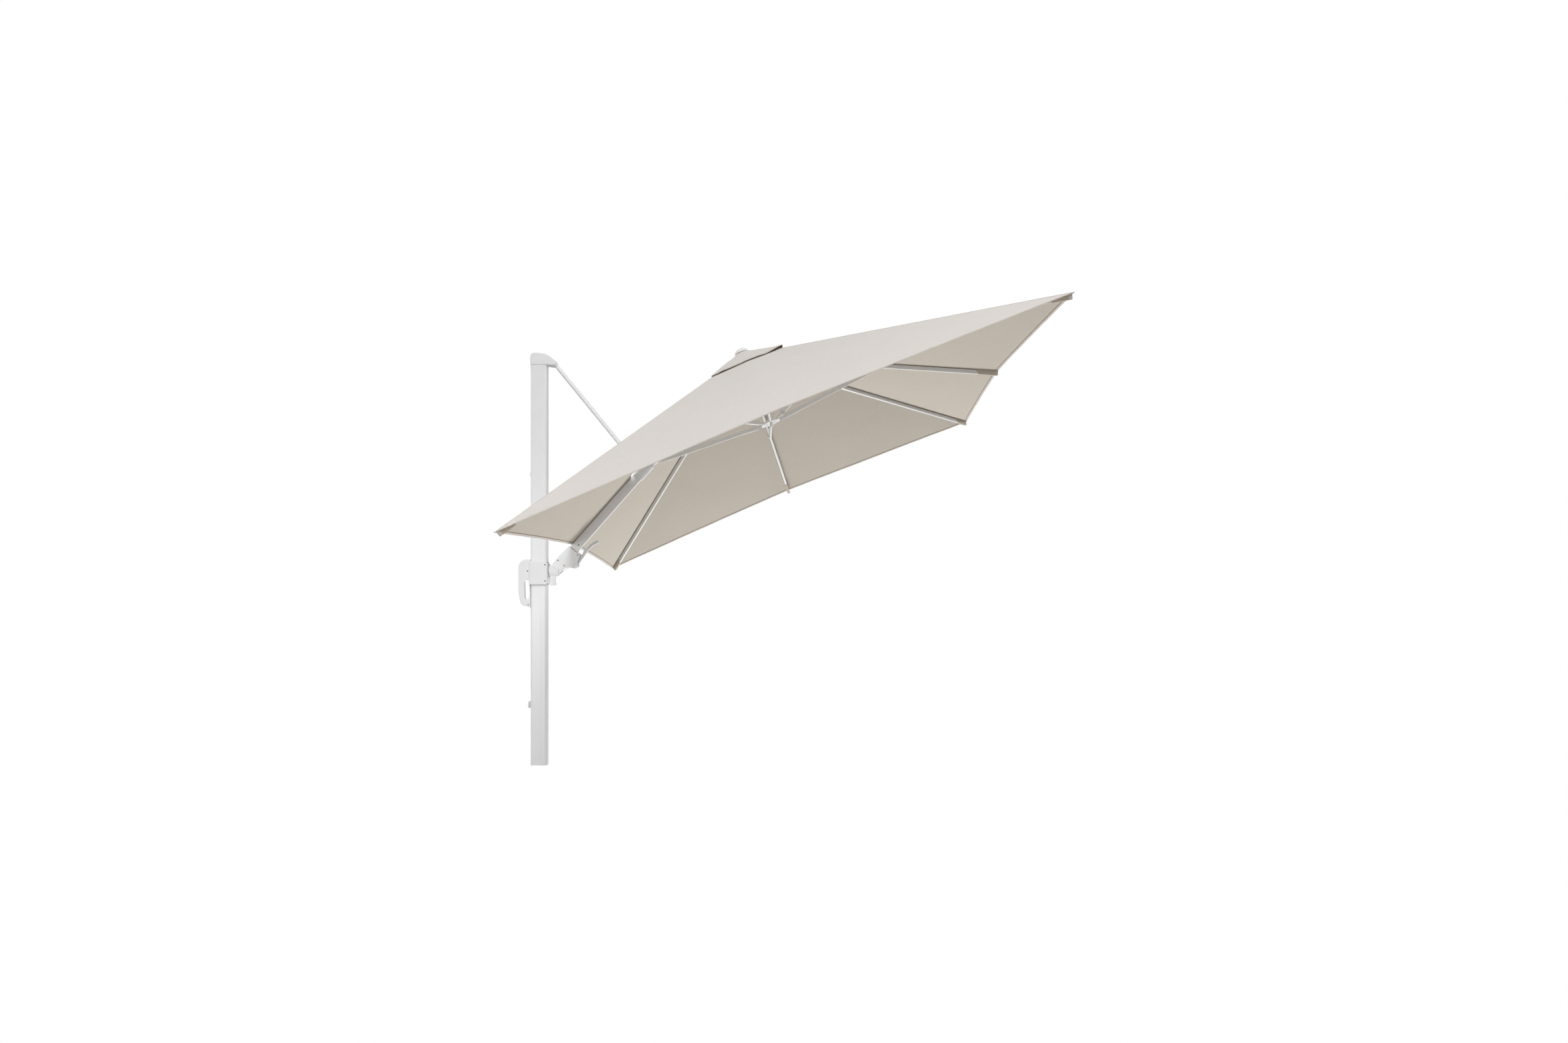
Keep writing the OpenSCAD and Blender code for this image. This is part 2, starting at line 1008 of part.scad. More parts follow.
// Tines that straddle a rib.
module stay_tines(hold, reach) {
    for (side = [-1, 1])
        side_plate(min(side * hold, side * (hold + 3)), max(side * hold, side * (hold + 3)))
            union() {
                circle(9);
                translate([0, -9])
                    square([reach, 18]);
            }
}

// Blade that fits between the plates of the beam's lug.
module stay_blade(reach) {
    side_plate(-2.7, 2.7)
        union() {
            circle(8);
            translate([0, -8])
                square([reach, 16]);
        }
}

module mid_stay(azimuth) {
    stay(azimuth, mid_droop, stay_along, stay_below, rib_w / 2 + 0.4);
}

module corner_stay(azimuth) {
    stay(azimuth, corner_droop, corner_stay_along, stay_below, rib_w / 2 + 0.4);
}

module stay_front() { mid_stay(0); }
module stay_near() { mid_stay(-90); }
module stay_far() { mid_stay(90); }
module stay_front_near() { corner_stay(-45); }
module stay_front_far() { corner_stay(45); }
module stay_back_near() { corner_stay(-135); }
module stay_back_far() { corner_stay(135); }
module stay_beam() { stay(180, mid_droop, beam_len - lug_along, lug_below, 0); }

// ---------- fabric ----------

// Height of the fabric's lower face over a rib line at radius r.
function mid_cloth(r) = (rib_h / 2 + mid_gap) / cos(mid_droop) - (r - hub_r) * tan(mid_droop);
function corner_cloth(r) = (rib_h / 2 + corner_gap) / cos(corner_droop) - (r - hub_r) * tan(corner_droop);
function beam_cloth(r) = (beam_h / 2 + beam_gap) / cos(mid_droop) - (r - hub_r) * tan(mid_droop);
function at_azimuth(a, r, z) = [r * cos(a), r * sin(a), z];

// One ring of eight points where the fabric crosses the rib lines, on a square of half side h.
// Close to the axis nothing of the beam is left to cross, so the ring is as low there as elsewhere.
function ring(h, inset, lift) = [
    for (i = [0:7])
        let (mid = i % 2 == 0, r = mid ? h - inset : h * sqrt(2), over_beam = i == 4 && r > 2 * hub_r)
            at_azimuth(i * 45, r, lift + (over_beam ? beam_cloth(r) : mid ? mid_cloth(r) : corner_cloth(r)))
];

// Closed shell between two rings of fabric, raised by a lift at each.
module cloth_shell(inner, outer, inset, lift_in, lift_out) {
    points = concat(
        ring(inner, 0, lift_in), ring(outer, inset, lift_out),
        ring(inner, 0, lift_in + cloth_t), ring(outer, inset, lift_out + cloth_t));
    faces = [
        for (i = [0:7])
            let (j = (i + 1) % 8)
                each [
                    [i, i + 8, j + 8], [i, j + 8, j],
                    [i + 16, j + 24, i + 24], [i + 16, j + 16, j + 24],
                    [i, j, j + 16], [i, j + 16, i + 16],
                    [i + 8, j + 24, j + 8], [i + 8, i + 24, j + 24]
                ]
    ];
    polyhedron(points, faces);
}

module canopy() {
    slit_half = tine_out + 20;
    slit_over = 38;
    color(cloth)
        difference() {
            in_canopy()
                cloth_shell(vent_half, half_side, side_inset, 0, 0);
            in_arm()
                translate([collar_start - slit_over, -slit_half, 0])
                    cube([collar_end - collar_start + 2 * slit_over, 2 * slit_half, 120]);
        }
}

module vent_flap() {
    color(cloth)
        in_canopy()
            difference() {
                cloth_shell(20, flap_half, 6, flap_rise + 4, flap_rise);
                translate([0, 0, -200])
                    cylinder(h = 400, r = 33);
            }
}

mast_tube();
mast_foot_plug();
mast_cap();
cap_screws();
cap_pin();
upper_stop();
strap_knob();
strut_tube();
strut_eye();
strut_fork();
slider_shell_near();
slider_shell_far();
slider_bracket();
glide_liner();
slider_screws();
pivot_pin();
lock_lever();
neck_shell_near();
neck_shell_far();
neck_spigot();
neck_screws();
tilt_lever();
tilt_lever_pin();
collar();
collar_pins();
collar_screw();
beam_tube();
beam_socket();
beam_bush();
beam_screws();
strut_lug();
beam_head();
top_hub();
hub_pins();
finial_cap();
canopy();
vent_flap();
lower_hub();
rib_front();
rib_near();
rib_far();
rib_front_near();
rib_front_far();
rib_back_near();
rib_back_far();
ends_front();
ends_near();
ends_far();
ends_front_near();
ends_front_far();
ends_back_near();
ends_back_far();
stay_front();
stay_near();
stay_far();
stay_front_near();
stay_front_far();
stay_back_near();
stay_back_far();
stay_beam();
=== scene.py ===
import json
import math

import bmesh
import bpy
from mathutils import Matrix, Vector, noise
from mathutils.bvhtree import BVHTree


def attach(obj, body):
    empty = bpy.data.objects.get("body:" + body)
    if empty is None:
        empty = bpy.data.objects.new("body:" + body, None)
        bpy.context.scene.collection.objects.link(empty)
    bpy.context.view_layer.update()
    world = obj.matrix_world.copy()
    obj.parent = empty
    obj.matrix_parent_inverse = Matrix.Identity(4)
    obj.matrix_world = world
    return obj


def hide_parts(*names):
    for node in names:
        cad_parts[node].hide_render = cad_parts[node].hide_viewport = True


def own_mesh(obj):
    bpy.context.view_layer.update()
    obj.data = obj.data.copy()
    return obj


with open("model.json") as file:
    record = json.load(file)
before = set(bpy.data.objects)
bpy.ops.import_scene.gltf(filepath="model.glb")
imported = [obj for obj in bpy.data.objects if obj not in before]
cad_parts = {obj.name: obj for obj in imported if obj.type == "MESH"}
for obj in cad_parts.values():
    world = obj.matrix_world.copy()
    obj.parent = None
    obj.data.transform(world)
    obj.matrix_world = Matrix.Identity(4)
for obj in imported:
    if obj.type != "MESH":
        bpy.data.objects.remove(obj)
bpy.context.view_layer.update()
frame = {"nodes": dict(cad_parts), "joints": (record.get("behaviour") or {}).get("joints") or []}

MM = 0.001
NODES = frame["nodes"]
JOINTS = {j["name"]: j for j in frame["joints"]}

# ---------- frames of the canopy and of the beam, in metres ----------


def joint_pos(name):
    return Vector(JOINTS[name]["pos_m"])


def basis(x_axis, z_axis, origin):
    """Matrix with X and Z along the given directions and Y along the world's Y."""
    y_axis = Vector((0, 1, 0))
    return Matrix(
        [[x_axis[i], y_axis[i], z_axis[i], origin[i]] for i in range(3)] + [[0, 0, 0, 1]]
    )


AXIS = Vector(JOINTS["runner_slide"]["axis"]).normalized()
CANOPY = basis(
    Vector((AXIS.z, 0, -AXIS.x)), AXIS, (joint_pos("rib_near_fold") + joint_pos("rib_far_fold")) / 2
)
BEAM_DIR = Vector(JOINTS["beam_roll"]["axis"]).normalized()
ARM = basis(BEAM_DIR, Vector((-BEAM_DIR.z, 0, BEAM_DIR.x)), joint_pos("lock_lever_turn"))

# ---------- canopy numbers, in millimetres ----------

# Radius of the rib pins round the hub, then each kind of rib's droop and the cloth's height over its axis.
HUB_R = 45.0
DROOP = {"mid": math.radians(26.1), "corner": math.radians(19.2), "beam": math.radians(26.1)}
RISE = {"mid": 14.7, "corner": 16.9, "beam": 29.5}
RIB_LEN = {"mid": 1546.0, "corner": 2165.0}
PLUG = 7.0
# Half widths of the square, of the vent opening and of the flap, and how far their sides are drawn in.
HALF_SIDE = 1500.0
SIDE_INSET = 52.0
VENT_HALF = 190.0
FLAP_HALF = 234.0
FLAP_INSET = 6.0
# The flap: its lift over the canopy at the middle and at the edge, and the radius of the hole in it.
FLAP_LIFT_IN = 22.0
FLAP_LIFT_OUT = 18.0
FLAP_HOLE = 33.0
# How far its edge is laid down, how far one corner curls up, and the rib line of that corner.
FLAP_LAID = 11.0
CURL = 11.0
CURLED = 7
CURL_REACH = 60.0
# The flap's cloth is drawn up round the finial, but stays below its base.
DRAWN_UP = 7.0
DRAWN_FROM = 43.0
DRAWN_REACH = 26.0
DOME_BASE = 50.0
CLOTH = 1.2
SLOPE_LEN = 1400.0
FLAP_LEN = 220.0
# Spacing of the stitches, in millimetres.
STITCH_PITCH = 6.2

# Body, azimuth and kind of each rib line, going round the canopy.
LINES = [
    ("rib_front", 0, "mid"),
    ("rib_front_far", 45, "corner"),
    ("rib_far", 90, "mid"),
    ("rib_back_far", 135, "corner"),
    ("beam", 180, "beam"),
    ("rib_back_near", 225, "corner"),
    ("rib_near", 270, "mid"),
    ("rib_front_near", 315, "corner"),
]

# ---------- materials ----------


def nodes_of(mat):
    mat.use_nodes = True
    tree = mat.node_tree
    return tree, tree.nodes["Principled BSDF"]


def link(tree, a, b):
    tree.links.new(a, b)


def node(tree, kind, **values):
    made = tree.nodes.new(kind)
    for key, value in values.items():
        if hasattr(made, key):
            setattr(made, key, value)
        else:
            made.inputs[key.replace("_", " ")].default_value = value
    return made


def math_node(tree, op, a, b=None):
    made = tree.nodes.new("ShaderNodeMath")
    made.operation = op
    for socket, value in zip(made.inputs, (a, b)):
        if value is None:
            continue
        if isinstance(value, (int, float)):
            socket.default_value = value
        else:
            link(tree, value, socket)
    return made.outputs[0]


def spread(tree, value, low, high):
    """Value from 0.3..0.7, as noise gives it, to low..high."""
    made = tree.nodes.new("ShaderNodeMapRange")
    made.inputs["From Min"].default_value = 0.3
    made.inputs["From Max"].default_value = 0.7
    made.inputs["To Min"].default_value = low
    made.inputs["To Max"].default_value = high
    link(tree, value, made.inputs["Value"])
    return made.outputs["Result"]


def noise_of(tree, vector, scale, detail=3.0, stretch=None):
    if stretch:
        mapping = tree.nodes.new("ShaderNodeMapping")
        mapping.inputs["Scale"].default_value = stretch
        link(tree, vector, mapping.inputs["Vector"])
        vector = mapping.outputs["Vector"]
    made = tree.nodes.new("ShaderNodeTexNoise")
    made.inputs["Scale"].default_value = scale
    made.inputs["Detail"].default_value = detail
    link(tree, vector, made.inputs["Vector"])
    return made.outputs["Fac"]


def tinted(tree, factor, dark, light):
    ramp = tree.nodes.new("ShaderNodeValToRGB")
    ramp.color_ramp.elements[0].position = 0.3
    ramp.color_ramp.elements[1].position = 0.7
    ramp.color_ramp.elements[0].color = (*dark, 1)
    ramp.color_ramp.elements[1].color = (*light, 1)
    link(tree, factor, ramp.inputs["Fac"])
    return ramp.outputs["Color"]


def shaded(colour, amount):
    return tuple(min(1.0, c * (1 + amount)) for c in colour)


def hard_material(name, colour, rough, metal=0.0, mottle=0.03, patch=14.0, grain=700.0, bump=0.12):
    """Coated metal, moulded plastic or bare metal: mottled colour, fine grain in bump and gloss."""
    mat = bpy.data.materials.new(name)
    tree, bsdf = nodes_of(mat)
    place = tree.nodes.new("ShaderNodeTexCoord").outputs["Object"]
    broad = noise_of(tree, place, patch, 4.0)
    fine = noise_of(tree, place, grain, 2.0)
    tint = tinted(tree, broad, shaded(colour, -mottle), shaded(colour, mottle))
    link(tree, tint, bsdf.inputs["Base Color"])
    mixed = math_node(tree, "MULTIPLY", math_node(tree, "ADD", broad, fine), 0.5)
    link(tree, spread(tree, mixed, rough - 0.06, rough + 0.06), bsdf.inputs["Roughness"])
    bsdf.inputs["Metallic"].default_value = metal
    bumped = node(tree, "ShaderNodeBump", Strength=bump, Distance=0.0003)
    link(tree, fine, bumped.inputs["Height"])
    link(tree, bumped.outputs["Normal"], bsdf.inputs["Normal"])
    return mat


def fabric_material(name, colour, thread=0.0016, streak=0.05):
    """Plain-woven cloth with slubs in both directions; UV is in metres along and down the panel."""
    mat = bpy.data.materials.new(name)
    tree, bsdf = nodes_of(mat)
    uv = node(tree, "ShaderNodeUVMap", uv_map="weave").outputs["UV"]
    parts = node(tree, "ShaderNodeSeparateXYZ")
    link(tree, uv, parts.inputs[0])
    turns = 2 * math.pi / thread
    warp = math_node(tree, "SINE", math_node(tree, "MULTIPLY", parts.outputs["X"], turns))
    weft = math_node(tree, "SINE", math_node(tree, "MULTIPLY", parts.outputs["Y"], turns))
    weave = math_node(tree, "MULTIPLY", math_node(tree, "MULTIPLY", warp, weft), 0.5)
    along = noise_of(tree, uv, 1.0, 3.0, (7.0, 170.0, 1.0))
    down = noise_of(tree, uv, 1.0, 3.0, (210.0, 9.0, 1.0))
    cloud = noise_of(tree, uv, 2.3, 3.0)
    lengthwise = math_node(tree, "MULTIPLY", along, 0.5)
    slubs = math_node(tree, "ADD", lengthwise, math_node(tree, "MULTIPLY", down, 0.3))
    tone = math_node(tree, "ADD", slubs, math_node(tree, "MULTIPLY", cloud, 0.2))
    tone = math_node(tree, "ADD", tone, math_node(tree, "MULTIPLY", weave, 0.03))
    tint = tinted(tree, tone, shaded(colour, -streak), shaded(colour, streak))
    link(tree, tint, bsdf.inputs["Base Color"])
    link(tree, spread(tree, tone, 0.86, 0.96), bsdf.inputs["Roughness"])
    bsdf.inputs["Specular IOR Level"].default_value = 0.2
    bsdf.inputs["Sheen Weight"].default_value = 0.12
    bsdf.inputs["Sheen Roughness"].default_value = 0.5
    bumped = node(tree, "ShaderNodeBump", Strength=0.25, Distance=0.0004)
    height = math_node(tree, "ADD", weave, math_node(tree, "MULTIPLY", slubs, 2.0))
    link(tree, height, bumped.inputs["Height"])
    link(tree, bumped.outputs["Normal"], bsdf.inputs["Normal"])
    return mat


# The tubes' white coat is set lighter than the ribs' coat of the same paint, to stand in for more light on
# the mast: painted light.
COAT = hard_material("look_white_coat_painted_light", (0.87, 0.87, 0.875), 0.36, bump=0.10, grain=420.0, mottle=0.012)
RIB_COAT = hard_material("look_rib_coat", (0.80, 0.80, 0.795), 0.40, bump=0.08, grain=420.0, mottle=0.015)
PLASTIC = hard_material("look_white_plastic", (0.86, 0.86, 0.865), 0.46, bump=0.16, grain=900.0, mottle=0.012)
CREAM = hard_material("look_cream_plastic", (0.78, 0.74, 0.58), 0.5, grain=800.0)
GREY = hard_material("look_grey_liner", (0.42, 0.42, 0.41), 0.55)
PADDLE = hard_material("look_pale_grey_plastic", (0.66, 0.67, 0.68), 0.42, grain=800.0, mottle=0.02)
STEEL = hard_material("look_zinc_steel", (0.60, 0.61, 0.62), 0.34, 1.0, mottle=0.08, patch=60.0, bump=0.1)
DARK_STEEL = hard_material("look_dark_steel", (0.22, 0.22, 0.22), 0.42, 0.9, mottle=0.15, patch=90.0)
CAST = hard_material("look_cast_aluminium", (0.66, 0.66, 0.66), 0.52, 0.9, mottle=0.06, patch=40.0, bump=0.35)
OUTER = fabric_material("canopy_outside", (0.73, 0.69, 0.65))
# The inside face is the same cloth as the outside, set darker: painted shade under the canopy.
INSIDE_PAINTED_SHADE = fabric_material("canopy_inside_painted_shade", (0.56, 0.51, 0.44))
TRIM = fabric_material("canopy_trim", (0.64, 0.60, 0.55), 0.0013, 0.04)
POCKET = fabric_material("pocket_cloth", (0.58, 0.52, 0.43), 0.0013, 0.05)
# Near-black brown for the underside of the flap's binding, standing in for the shadow in the gap under the
# flap: painted shade.
VENT_GAP_SHADE = fabric_material("vent_binding_painted_shade", (0.17, 0.13, 0.09), 0.0013, 0.10)
# The flap's underside is the same cloth, set darker than the canopy's inside: painted shade under the flap.
FLAP_UNDERSIDE_PAINTED_SHADE = fabric_material("flap_underside_painted_shade", (0.40, 0.36, 0.30), 0.0013, 0.10)
# Dark brown for the strips between the ribs and the cloth and for the line inside the hems, standing in for
# the shadow lines there: painted shade.
SHADE_STRIP_CLOTH = fabric_material("rib_painted_shade_strip", (0.26, 0.20, 0.14), 0.0010, 0.12)
THREAD = hard_material("sewing_thread", (0.57, 0.53, 0.47), 0.8, mottle=0.06, patch=200.0, bump=0.3)

SLOT_OF = {mat: "canopy_fabric" for mat in (OUTER, TRIM, POCKET, SHADE_STRIP_CLOTH)}
SLOT_OF.update({mat: "white_plastic" for mat in (PLASTIC, CREAM, PADDLE)})

for cad_name, cad in NODES.items():
    chosen = PLASTIC
    if cad_name in ("mast_tube", "strut_tube", "beam_tube"):
        chosen = COAT
    elif cad_name.startswith(("rib_", "stay_")):
        chosen = RIB_COAT
    elif cad_name in ("neck_spigot", "slider_bracket", "mast_foot_plug"):
        chosen = CAST
    elif cad_name == "glide_liner":
        chosen = GREY
    elif cad_name in ("slider_screws", "neck_screws", "beam_screws", "collar_screw"):
        chosen = DARK_STEEL
    elif cad_name in ("collar_pins", "hub_pins"):
        chosen = STEEL
    cad.data.materials.clear()
    cad.data.materials.append(chosen)

# ---------- building meshes ----------


def piece_from(name, points, faces, body, materials, place=CANOPY, picks=None, uvs=None, smooth=50.0):
    """A piece from points in millimetres of the given frame, riding on a body."""
    mesh = bpy.data.meshes.new(name)
    mesh.from_pydata([place @ (Vector(p) * MM) for p in points], [], faces)
    for mat in materials:
        mesh.materials.append(mat)
    if picks:
        for polygon, pick in zip(mesh.polygons, picks):
            polygon.material_index = pick
    if uvs:
        layer = mesh.uv_layers.new(name="weave")
        for polygon in mesh.polygons:
            for loop in polygon.loop_indices:
                layer.data[loop].uv = uvs[mesh.loops[loop].vertex_index]
    mesh.validate()
    for polygon in mesh.polygons:
        polygon.use_smooth = True
    mesh.set_sharp_from_angle(angle=math.radians(smooth))
    made = bpy.data.objects.new(name, mesh)
    bpy.context.scene.collection.objects.link(made)
    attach(made, body)
    return made


def line_point(i, s, spec):
    """Point of rib line i, at share s of the way from the inner to the outer ring."""
    _, azimuth, kind = LINES[i % 8]
    radii = []
    for half, inset in ((spec["inner"], 0.0), (spec["outer"], spec["inset"])):
        radii.append(half * math.sqrt(2) if kind == "corner" else half - inset)
    heights = []
    for radius, lift in zip(radii, (spec["lift_in"], spec["lift_out"])):
        used = "mid" if kind == "beam" and radius < 2 * HUB_R else kind
        heights.append(
            lift + RISE[used] / math.cos(DROOP[used]) - (radius - HUB_R) * math.tan(DROOP[used])
        )
    r = radii[0] + (radii[1] - radii[0]) * s
    a = math.radians(azimuth)
    return Vector((r * math.cos(a), r * math.sin(a), heights[0] + (heights[1] - heights[0]) * s))


CANOPY_SPEC = {
    "inner": VENT_HALF, "outer": HALF_SIDE, "inset": SIDE_INSET, "lift_in": 0.0, "lift_out": 0.0,
    "sag": 11.0, "bow": 7.0, "wave": 1.0,
}
FLAP_SPEC = {
    "inner": 20.0, "outer": FLAP_HALF, "inset": FLAP_INSET, "lift_in": FLAP_LIFT_IN,
    "lift_out": FLAP_LIFT_OUT, "sag": 2.0, "bow": 2.0, "wave": 0.0,
}


def side_azimuth(i, t):
    """Azimuth of the side whose panel holds this half of the kite."""
    kind = LINES[i % 8][2]
    if kind != "corner":
        return LINES[i % 8][1]
    return LINES[(i + (1 if t > 0 else -1)) % 8][1]


def across(point, i, t):
    """Distance of a point along its side, in millimetres."""
    a = math.radians(side_azimuth(i, t))
    return point.y * math.cos(a) - point.x * math.sin(a)


def outward(point, i, t):
    a = math.radians(side_azimuth(i, t))
    return point.x * math.cos(a) + point.y * math.sin(a)


def cloth_point(i, s, t, spec):
    """Lower face of the cloth: i is the rib line, t from -0.5 to 0.5 towards its neighbours."""
    share = abs(t)
    bulge = 4 * share * (1 - share)
    clipped = min(max(s, 0.0), 1.0)
    pulled = s - spec["bow"] * bulge * clipped**6 / (SLOPE_LEN if spec["wave"] else FLAP_LEN)
    own = line_point(i, pulled, spec)
    other = line_point(i + (1 if t > 0 else -1), pulled, spec)
    p = own.lerp(other, share)
    drop = spec["sag"] * bulge * math.sin(math.pi * min(clipped, 0.97)) ** 0.8
    e = across(p, i, t)
    if spec["wave"]:
        calm = min(1.0, clipped * 5) * min(1.0, (1.15 - clipped) * 4)
        creases = noise.noise(Vector((p.x / 260, p.y / 260, 3.7))) * 2.6
        creases += noise.noise(Vector((p.x / 90, p.y / 90, 9.1))) * 0.6
        near_edge = max(0.0, (clipped - 0.95) / 0.05)
        ripple = 0.35 * math.sin(e / 31.0 + 1.3 * math.sin(e / 140.0)) + 0.15 * math.sin(e / 9.5)
        drop += bulge * (creases * calm + near_edge**2 * ripple)
    else:
        side = math.radians(side_azimuth(i, t))
        wavy = math.sin(e / 29.0 + 2.1 * side) + 0.4 * math.sin(e / 13.0 + side)
        drop += bulge * clipped**3 * 1.7 * wavy
        # The edge lies close to the canopy, one corner stands up, and the middle is drawn up to the dome.
        drop += FLAP_LAID * clipped**4
        drop -= CURL * math.exp(-(((p - line_point(CURLED, 1.0, spec)).length / CURL_REACH) ** 2))
        beyond = max(0.0, math.hypot(p.x, p.y) - DRAWN_FROM)
        drop -= DRAWN_UP * math.exp(-((beyond / DRAWN_REACH) ** 2))
        drop = max(drop, p.z - DOME_BASE + CLOTH + 0.5)
    p.z -= drop
    return p


def slab(rows, cols):
    """Faces of a closed slab whose lower grid comes first and whose upper grid follows."""
    faces, picks = [], []
    size = rows * cols
    for r in range(rows - 1):
        for c in range(cols - 1):
            a = r * cols + c
            quad = (a, a + 1, a + cols + 1, a + cols)
            faces.append(quad)
            picks.append(1)
            faces.append(tuple(size + k for k in reversed(quad)))
            picks.append(0)
    border = list(range(cols))
    border += [r * cols + cols - 1 for r in range(1, rows)]
    border += [(rows - 1) * cols + c for c in range(cols - 2, -1, -1)]
    border += [r * cols for r in range(rows - 2, 0, -1)]
    for a, b in zip(border, border[1:] + border[:1]):
        faces.append((b, a, a + size, b + size))
        picks.append(0)
    return faces, picks


def grid_area(grid):
    total = 0.0
    for low, high in zip(grid, grid[1:]):
        for c in range(len(low) - 1):
            a, b, d, e = low[c], low[c + 1], high[c + 1], high[c]
            total += ((b - a).cross(d - a).length + (d - a).cross(e - a).length) / 2
    return total * MM * MM


def squash_with(made):
    """Gives a piece of cloth its own copy of its mesh."""
    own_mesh(made)


def kite(name, i, spec, rows, cols, inside, start=None):
    """One rib's share of the cloth, out to the middles of the panels on both sides."""
    body = LINES[i][0]
    ts = [-0.5 + c / (cols - 1) for c in range(cols)]
    grid, uvs = [], []
    for r in range(rows):
        row = []
        for t in ts:
            s0 = start(i, t) if start else 0.0
            row.append(cloth_point(i, s0 + (1 - s0) * r / (rows - 1), t, spec))
        grid.append(row)
    low = [p for row in grid for p in row]
    high = [p + Vector((0, 0, CLOTH)) for p in low]
    for k, p in enumerate(low + high):
        t = ts[k % cols]
        uvs.append((across(p, i, t) * MM + 3.1 * i, outward(p, i, t) * MM / math.cos(DROOP["mid"])))
    faces, picks = slab(rows, cols)
    made = piece_from(name, low + high, faces, body, [OUTER, inside], picks=picks, uvs=uvs, smooth=38)
    width = (grid[-1][0] - grid[-1][-1]).length * MM
    length = (grid[-1][cols // 2] - grid[0][cols // 2]).length * MM
    return made, (width, length), grid_area(grid)


def thread_row(points, faces, picks, along, normal, pick, length=4.4, wide=0.9, high=0.6):
    """Adds one stitch after another: small faceted lozenges lying on the cloth."""
    for centre, direction in along:
        side = direction.cross(normal).normalized()
        base = len(points)
        for shift, scale in ((-0.5, 0.25), (-0.3, 1.0), (0.3, 1.0), (0.5, 0.25)):
            mid = centre + direction * (length * shift)
            points.append(mid + side * (wide / 2 * scale))
            points.append(mid + normal * (high * scale))
            points.append(mid - side * (wide / 2 * scale))
            points.append(mid - normal * 0.2)
        for ring in range(3):
            for k in range(4):
                a = base + ring * 4 + k
                b = base + ring * 4 + (k + 1) % 4
                faces.append((a, a + 4, b + 4, b))
                picks.append(pick)
        faces.append((base, base + 1, base + 2, base + 3))
        faces.append((base + 15, base + 14, base + 13, base + 12))
        picks.extend((pick, pick))


def walk(curve, pitch, margin):
    """Places at an even pitch along a polyline, with the direction there."""
    out, carried = [], -margin
    for a, b in zip(curve, curve[1:]):
        step = (b - a).length
        direction = (b - a) / step
        while carried + pitch <= step:
            carried += pitch
            if carried > 0:
                out.append((a + direction * carried, direction))
        carried -= step
    return out


# Cross-sections of the folded edges: distance beyond the edge, and height over the cloth's lower face.
HEM = [(-13.0, -0.1), (-13.0, -0.8), (0.7, -0.8), (1.2, -0.3), (1.2, CLOTH + 0.2), (0.7, CLOTH + 0.6),
       (-12.0, CLOTH + 0.6), (-12.0, CLOTH + 0.1), (0.1, CLOTH + 0.1), (0.1, -0.1)]
VENT_HEM = [(q * 0.7, z) for q, z in HEM]
# Dark strip just inside the hem, in the shade strip colour, standing in for the shadow line along the hem's
# inner edge: painted shade.
HEM_SHADE_LINE = [(-16.9, -0.1), (-16.5, -1.3), (-14.7, -1.5), (-13.1, -1.2), (-13.1, -0.1)]
BINDING = [(-15.0, -0.1), (-15.0, -1.3), (0.8, -1.5), (2.0, -0.5), (2.0, CLOTH + 0.5), (0.8, CLOTH + 1.2),
           (-15.0, CLOTH + 1.0), (-15.0, CLOTH + 0.1), (0.1, CLOTH + 0.1), (0.1, -0.1)]


def edging(name, i, spec, profile, cols, reach, outer=True, stitched=(-10.5,), dark=(), shade_line=None):
    """Cloth folded round the edge of a kite, swept along it, with rows of stitches on both faces."""
    ts = [-0.5 + c / (cols - 1) for c in range(cols)]
    points, faces, picks, uvs = [], [], [], []

    def at(q, z, t):
        p = cloth_point(i, 1 + q / reach if outer else -q / reach, t, spec)
        p.z += z
        return p

    runs = [(profile, dark)]
    if shade_line:
        runs.append((shade_line, range(len(shade_line))))
    for run, marked in runs:
        first, count = len(points), len(run)
        for t in ts:
            for k, (q, z) in enumerate(run):
                points.append(at(q, z, t))
                uvs.append((across(points[-1], i, t) * MM, k * 0.011))
        for c in range(cols - 1):
            for k in range(count):
                a, b = first + c * count + k, first + c * count + (k + 1) % count
                quad = (a, b, b + count, a + count)
                faces.append(quad[::-1] if outer else quad)
                picks.append(2 if k in marked else 0)
        # Each end is closed by a strip across the folded cloth.
        for base, flip in ((first, outer), (first + (cols - 1) * count, not outer)):
            low, high = 0, count - 1
            while high - low > 1:
                face = [base + low, base + low + 1, base + high - 1, base + high]
                if high - low == 2:
                    face = face[:2] + face[3:]
                faces.append(tuple(face if flip else face[::-1]))
                picks.append(0)
                low, high = low + 1, high - 1
    for q in stitched:
        for z, up in ((profile[1][1], -1), (profile[-4][1], 1)):
            curve = [at(q, z, t) for t in ts]
            thread_row(points, faces, picks, walk(curve, STITCH_PITCH, 2.0), Vector((0, 0, up)), 1)
    uvs += [(0.0, 0.0)] * (len(points) - len(uvs))
    # Marked faces take painted shade: the vent gap's shade colour on the binding's underside, or the shade
    # strip colour on the hem's shade line.
    made = piece_from(name, points, faces, LINES[i][0], [TRIM, THREAD, VENT_GAP_SHADE if dark else SHADE_STRIP_CLOTH],
                      picks=picks, uvs=uvs, smooth=40)
    squash_with(made)
    return made


